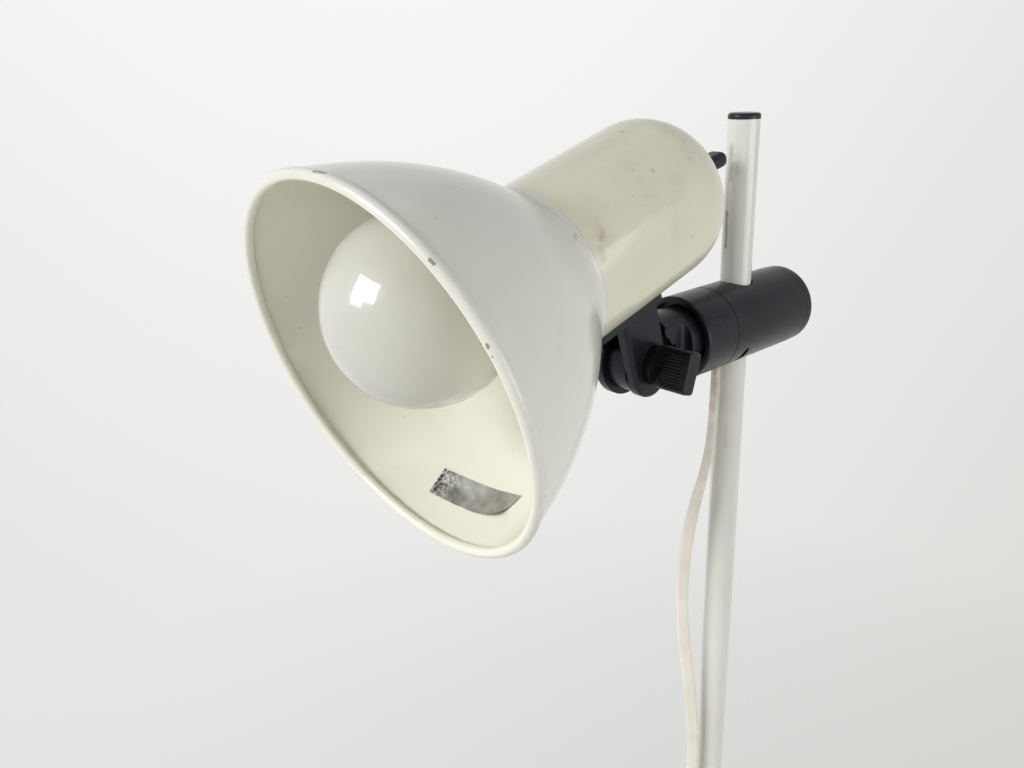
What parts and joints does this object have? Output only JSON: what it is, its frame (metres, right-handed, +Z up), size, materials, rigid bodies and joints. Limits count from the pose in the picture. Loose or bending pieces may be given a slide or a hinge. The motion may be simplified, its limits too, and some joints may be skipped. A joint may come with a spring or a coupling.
{
  "type": "pole spot lamp",
  "caption": "Table lamp on an upright pole: a bell shade on a tilt hinge, carried by a barrel clamp that slides and turns on the pole, over a weighted round base.",
  "frame": {"origin": "on the pole's axis, at the underside of the base pad, where the lamp rests on a table", "axes": "+Z up along the pole, the lamp points along -Y, the wing knob is on the +X side"},
  "size_m": [0.1971, 0.2892, 0.4616],
  "materials": {
    "enamel": "gloss ivory enamel on sheet steel",
    "pole_enamel": "gloss off-white enamel on steel tube",
    "black_plastic": "satin black moulded plastic",
    "steel": "plain zinc-plated steel",
    "spring_steel": "oiled spring steel",
    "brass": "plain brass",
    "nylon": "plain nylon",
    "phenolic": "dark brown phenolic",
    "iron": "black painted casting",
    "foot_rubber": "plain black sheet rubber",
    "cord_vinyl": "beige vinyl",
    "tie_vinyl": "white vinyl strip",
    "bulb_frost": "frosted glass",
    "bulb_clear": "clear glass",
    "bulb_metal": "plain aluminium"
  },
  "bodies": {
    "stand": {"base_pad": "foot_rubber", "base_shell": "enamel", "base_weight": "iron", "base_washer": "steel", "base_bolt": "steel", "pole": "pole_enamel", "pole_insert": "steel", "pole_cap": "black_plastic", "cord_drop": "cord_vinyl", "cord_lead": "cord_vinyl", "cord_coil": "cord_vinyl", "cord_tail": "cord_vinyl", "coil_tie": "tie_vinyl", "plug_body": "cord_vinyl", "plug_blades": "brass"},
    "carriage": {"pole_bush": "nylon"},
    "clamp": {"clamp_body": "black_plastic", "pole_guide": "black_plastic", "bush_clip": "spring_steel", "collar": "black_plastic", "friction_pad": "nylon", "clamp_spring": "spring_steel", "end_cap": "black_plastic", "cord_stub": "cord_vinyl"},
    "knuckle": {"knuckle": "black_plastic", "roll_washer": "nylon"},
    "head": {"bracket": "black_plastic", "hinge_nut": "steel", "hinge_washer": "steel", "bracket_screws": "steel", "housing": "enamel", "shade": "enamel", "socket_body": "phenolic", "socket_shell": "brass", "centre_contact": "brass", "switch_body": "phenolic", "switch_nut": "steel"},
    "wing": {"wing_knob": "black_plastic", "wing_stud": "steel"},
    "switch": {"switch_knob": "black_plastic", "switch_shaft": "brass"},
    "bulb": {"bulb_glass": "bulb_frost", "bulb_base": "bulb_metal", "bulb_contact": "brass", "bulb_stem": "bulb_clear"}
  },
  "joints": [
    {"name": "clamp_slide", "type": "slide", "parent": "stand", "child": "carriage", "axis": [0, 0, 1], "range_m": [-0.22, 0.055], "deforming": ["cord_drop"]},
    {"name": "clamp_swivel", "type": "hinge", "parent": "carriage", "child": "clamp", "pos_m": [0, 0, 0.3765], "axis": [0, 0, 1], "range_deg": [-170, 170]},
    {"name": "head_roll", "type": "hinge", "parent": "clamp", "child": "knuckle", "pos_m": [0, -0.0384, 0.3765], "axis": [0, 1, 0], "range_deg": [-120, 120]},
    {"name": "head_tilt", "type": "hinge", "parent": "knuckle", "child": "head", "pos_m": [0, -0.0633, 0.3735], "axis": [1, 0, 0], "range_deg": [-2, 75]},
    {"name": "wing_turn", "type": "hinge", "parent": "head", "child": "wing", "pos_m": [0.014, -0.0633, 0.3735], "axis": [1, 0, 0], "range_deg": [-30, 360]},
    {"name": "switch_turn", "type": "hinge", "parent": "head", "child": "switch", "pos_m": [0, -0.0367, 0.43961], "axis": [0, -0.9792, -0.2028], "continuous": true},
    {"name": "bulb_out", "type": "slide", "parent": "head", "child": "bulb", "axis": [0, -0.9792, -0.2028], "range_m": [0, 0.03]}
  ]
}
